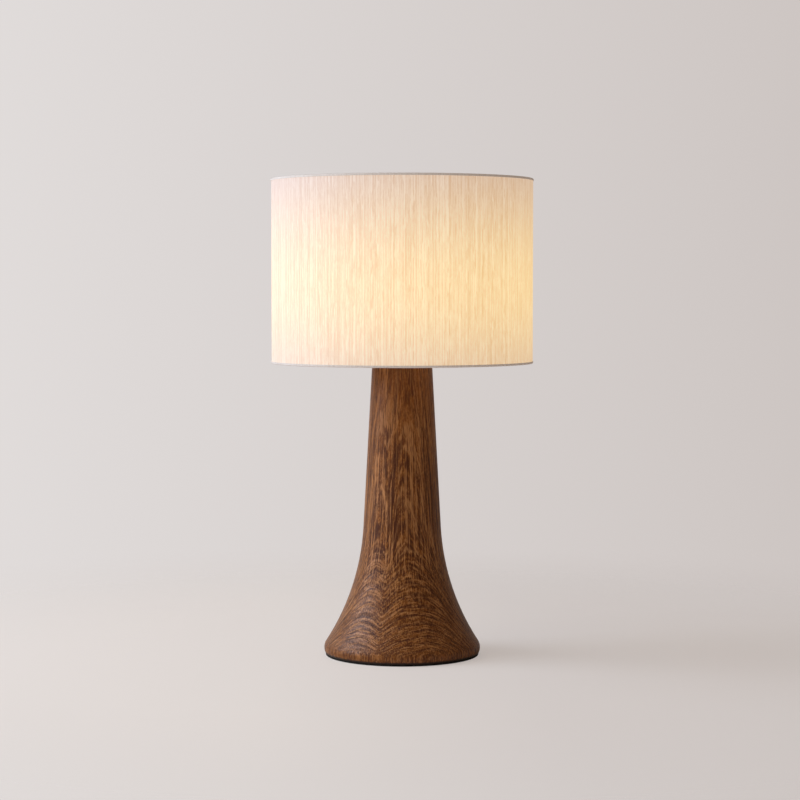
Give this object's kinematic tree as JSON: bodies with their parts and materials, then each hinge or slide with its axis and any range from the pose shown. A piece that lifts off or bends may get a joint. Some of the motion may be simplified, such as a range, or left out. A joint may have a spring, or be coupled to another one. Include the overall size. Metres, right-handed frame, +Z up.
{
  "type": "table lamp",
  "caption": "Table lamp with a drum shade of pale linen on a turned, flared base of brown stained wood, with a screw lampholder and a turn-knob switch.",
  "frame": {"origin": "centre of the underside of the foot pad", "axes": "+Z up along the lamp's axis; the front faces -Y, the cord inlet faces +Y and the switch knob points to +X"},
  "size_m": [0.254, 0.254, 0.462],
  "materials": {
    "stained_wood": "satin stained and oiled",
    "foot_pad": "matt",
    "ballast_iron": "rough cast",
    "zinc_steel": "zinc plated",
    "cap_metal": "satin",
    "black_plastic": "moulded",
    "holder_plastic": "moulded satin",
    "contact_metal": "bright",
    "insert_ceramic": "unglazed",
    "linen": "slubby plain weave",
    "hem_tape": "rolled hem",
    "liner_sheet": "satin white",
    "white_wire": "powder coated",
    "opal_glass": "opal",
    "clear_glass": "clear",
    "bulb_cap_metal": "nickel plated",
    "bead_glass": "gloss",
    "light_strip": "coated"
  },
  "bodies": {
    "base": {"wood_column": "stained_wood", "foot_pad": "foot_pad", "ballast_disc": "ballast_iron", "lamp_rod": "zinc_steel", "rod_bottom_washer": "zinc_steel", "rod_lock_washer": "zinc_steel", "rod_bottom_nut": "zinc_steel", "cord_bush": "black_plastic", "neck_cap": "cap_metal", "rod_top_nut": "zinc_steel", "entry_insert": "contact_metal", "holder_cap": "holder_plastic", "holder_grub_screw": "zinc_steel", "switch_block": "black_plastic", "holder_insert": "insert_ceramic", "terminal_screws": "contact_metal", "screw_shell": "bulb_cap_metal", "centre_contact": "contact_metal", "holder_skirt": "holder_plastic", "shade_clamp_ring": "holder_plastic"},
    "switch": {"switch_rotor": "holder_plastic", "switch_spindle": "zinc_steel", "switch_knob": "black_plastic"},
    "shade": {"shade_fitter_ring": "white_wire", "shade_arms": "white_wire", "shade_bottom_ring": "white_wire", "shade_top_ring": "white_wire", "shade_liner": "liner_sheet", "shade_fabric": "linen", "shade_bottom_trim": "hem_tape", "shade_top_trim": "hem_tape"},
    "bulb": {"bulb_globe": "opal_glass", "bulb_cap": "bulb_cap_metal", "bulb_insulator": "bead_glass", "bulb_tip": "contact_metal", "bulb_stem": "clear_glass", "bulb_filaments": "light_strip", "bulb_support_wires": "zinc_steel"}
  },
  "joints": [
    {"name": "switch_turn", "type": "hinge", "parent": "base", "child": "switch", "pos_m": [0, 0, 0.3065], "axis": [1, 0, 0], "continuous": true},
    {"name": "shade_swivel", "type": "hinge", "parent": "base", "child": "shade", "pos_m": [0, 0, 0.3195], "axis": [0, 0, 1], "continuous": true},
    {"name": "bulb_lift", "type": "slide", "parent": "base", "child": "bulb", "axis": [0, 0, 1], "range_m": [0, 0.14]}
  ]
}
